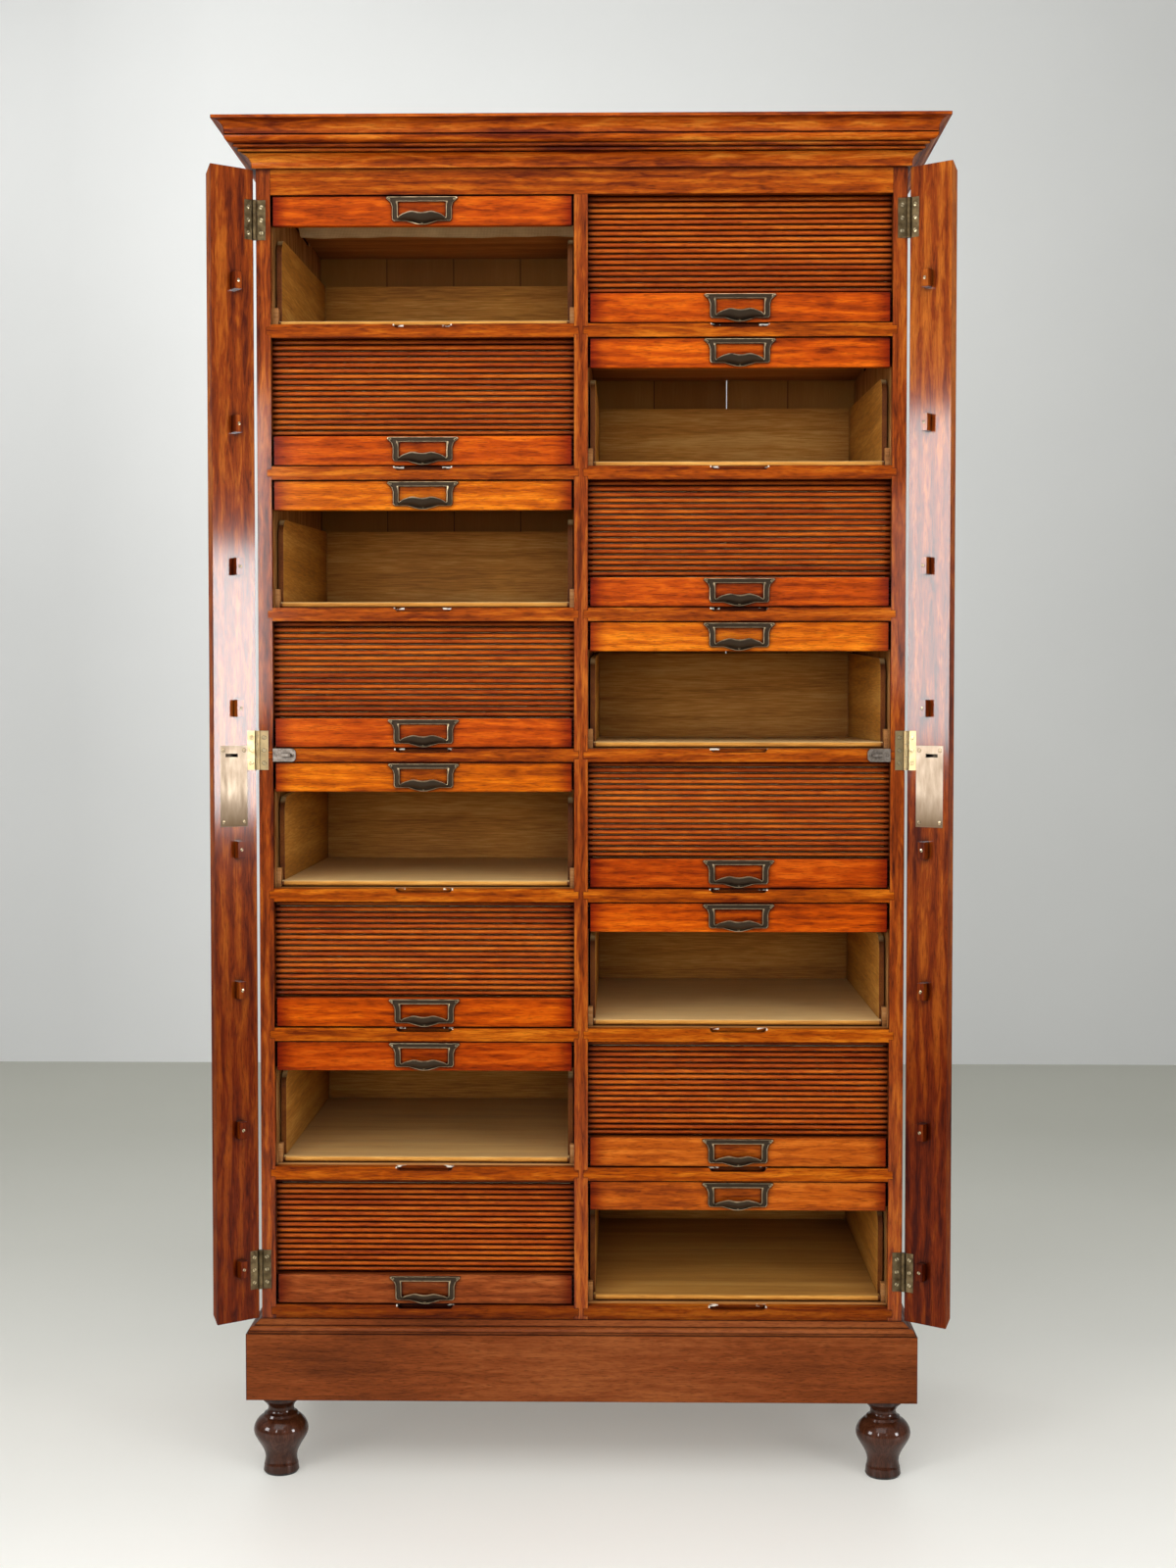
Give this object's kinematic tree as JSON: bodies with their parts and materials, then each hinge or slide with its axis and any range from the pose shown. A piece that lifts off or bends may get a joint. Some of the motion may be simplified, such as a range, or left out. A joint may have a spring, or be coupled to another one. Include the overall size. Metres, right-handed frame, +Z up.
{
  "type": "filing cabinet",
  "caption": "Tall polished wooden filing cabinet with two columns of slatted shutters that slide up, oak boxes behind them, locking side flaps, moulded cornice and turned feet.",
  "frame": {"origin": "on the floor under the middle of the whole cabinet, cornice and open flaps included", "axes": "+Z up, +X to the right seen from the front, the front faces -Y"},
  "size_m": [0.956, 0.516, 1.761],
  "materials": {
    "mahogany": "french polished",
    "oak": "waxed",
    "deal": "bare, darkened",
    "canvas": "plain woven",
    "aged_brass": "aged",
    "lock_brass": "worn",
    "steel": "worn"
  },
  "bodies": {
    "carcase": {"side_left": "mahogany", "side_right": "mahogany", "partition": "oak", "top_board": "mahogany", "bottom_board": "oak", "dust_boards": "oak", "back_boards": "deal", "stiles": "mahogany", "rails": "mahogany", "frieze": "mahogany", "cornice": "mahogany", "plinth": "mahogany", "feet": "mahogany", "boxes": "oak", "guide_blocks": "oak", "slats_closed": "mahogany", "slats_open": "mahogany", "canvas": "canvas", "link_plates": "steel", "hinge_leaves_frame": "aged_brass"},
    "flap_left": {"flap_left": "mahogany", "lock_left": "lock_brass", "hinge_leaves_left": "aged_brass"},
    "flap_right": {"flap_right": "mahogany", "lock_right": "lock_brass", "hinge_leaves_right": "aged_brass"},
    "bolt_left": {"lock_bolt_left": "lock_brass"},
    "bolt_right": {"lock_bolt_right": "lock_brass"},
    "shutter_L1": {"shutter_rail_L1": "mahogany", "pull_L1": "aged_brass"},
    "shutter_L2": {"shutter_rail_L2": "mahogany", "pull_L2": "aged_brass"},
    "shutter_L3": {"shutter_rail_L3": "mahogany", "pull_L3": "aged_brass"},
    "shutter_L4": {"shutter_rail_L4": "mahogany", "pull_L4": "aged_brass"},
    "shutter_L5": {"shutter_rail_L5": "mahogany", "pull_L5": "aged_brass"},
    "shutter_L6": {"shutter_rail_L6": "mahogany", "pull_L6": "aged_brass"},
    "shutter_L7": {"shutter_rail_L7": "mahogany", "pull_L7": "aged_brass"},
    "shutter_L8": {"shutter_rail_L8": "mahogany", "pull_L8": "aged_brass"},
    "shutter_R1": {"shutter_rail_R1": "mahogany", "pull_R1": "aged_brass"},
    "shutter_R2": {"shutter_rail_R2": "mahogany", "pull_R2": "aged_brass"},
    "shutter_R3": {"shutter_rail_R3": "mahogany", "pull_R3": "aged_brass"},
    "shutter_R4": {"shutter_rail_R4": "mahogany", "pull_R4": "aged_brass"},
    "shutter_R5": {"shutter_rail_R5": "mahogany", "pull_R5": "aged_brass"},
    "shutter_R6": {"shutter_rail_R6": "mahogany", "pull_R6": "aged_brass"},
    "shutter_R7": {"shutter_rail_R7": "mahogany", "pull_R7": "aged_brass"},
    "shutter_R8": {"shutter_rail_R8": "mahogany", "pull_R8": "aged_brass"}
  },
  "joints": [
    {"name": "lift_L1", "type": "slide", "parent": "carcase", "child": "shutter_L1", "axis": [0, 0, 1], "range_m": [-0.125, 0], "deforming": ["slats_open", "canvas"]},
    {"name": "lift_L2", "type": "slide", "parent": "carcase", "child": "shutter_L2", "axis": [0, 0, 1], "range_m": [0, 0.125], "deforming": ["slats_closed", "canvas"]},
    {"name": "lift_L3", "type": "slide", "parent": "carcase", "child": "shutter_L3", "axis": [0, 0, 1], "range_m": [-0.125, 0], "deforming": ["slats_open", "canvas"]},
    {"name": "lift_L4", "type": "slide", "parent": "carcase", "child": "shutter_L4", "axis": [0, 0, 1], "range_m": [0, 0.125], "deforming": ["slats_closed", "canvas"]},
    {"name": "lift_L5", "type": "slide", "parent": "carcase", "child": "shutter_L5", "axis": [0, 0, 1], "range_m": [-0.125, 0], "deforming": ["slats_open", "canvas"]},
    {"name": "lift_L6", "type": "slide", "parent": "carcase", "child": "shutter_L6", "axis": [0, 0, 1], "range_m": [0, 0.125], "deforming": ["slats_closed", "canvas"]},
    {"name": "lift_L7", "type": "slide", "parent": "carcase", "child": "shutter_L7", "axis": [0, 0, 1], "range_m": [-0.125, 0], "deforming": ["slats_open", "canvas"]},
    {"name": "lift_L8", "type": "slide", "parent": "carcase", "child": "shutter_L8", "axis": [0, 0, 1], "range_m": [0, 0.125], "deforming": ["slats_closed", "canvas"]},
    {"name": "lift_R1", "type": "slide", "parent": "carcase", "child": "shutter_R1", "axis": [0, 0, 1], "range_m": [0, 0.125], "deforming": ["slats_closed", "canvas"]},
    {"name": "lift_R2", "type": "slide", "parent": "carcase", "child": "shutter_R2", "axis": [0, 0, 1], "range_m": [-0.125, 0], "deforming": ["slats_open", "canvas"]},
    {"name": "lift_R3", "type": "slide", "parent": "carcase", "child": "shutter_R3", "axis": [0, 0, 1], "range_m": [0, 0.125], "deforming": ["slats_closed", "canvas"]},
    {"name": "lift_R4", "type": "slide", "parent": "carcase", "child": "shutter_R4", "axis": [0, 0, 1], "range_m": [-0.125, 0], "deforming": ["slats_open", "canvas"]},
    {"name": "lift_R5", "type": "slide", "parent": "carcase", "child": "shutter_R5", "axis": [0, 0, 1], "range_m": [0, 0.125], "deforming": ["slats_closed", "canvas"]},
    {"name": "lift_R6", "type": "slide", "parent": "carcase", "child": "shutter_R6", "axis": [0, 0, 1], "range_m": [-0.125, 0], "deforming": ["slats_open", "canvas"]},
    {"name": "lift_R7", "type": "slide", "parent": "carcase", "child": "shutter_R7", "axis": [0, 0, 1], "range_m": [0, 0.125], "deforming": ["slats_closed", "canvas"]},
    {"name": "lift_R8", "type": "slide", "parent": "carcase", "child": "shutter_R8", "axis": [0, 0, 1], "range_m": [-0.125, 0], "deforming": ["slats_open", "canvas"]},
    {"name": "hinge_left", "type": "hinge", "parent": "carcase", "child": "flap_left", "pos_m": [-0.4205, -0.21, 0.956], "axis": [0, 0, -1], "range_deg": [-143, 37]},
    {"name": "bolt_slide_left", "type": "slide", "parent": "flap_left", "child": "bolt_left", "axis": [0, 0, 1], "range_m": [0, 0.008]},
    {"name": "hinge_right", "type": "hinge", "parent": "carcase", "child": "flap_right", "pos_m": [0.4205, -0.21, 0.956], "axis": [0, 0, 1], "range_deg": [-143, 37]},
    {"name": "bolt_slide_right", "type": "slide", "parent": "flap_right", "child": "bolt_right", "axis": [0, 0, 1], "range_m": [0, 0.008]}
  ]
}
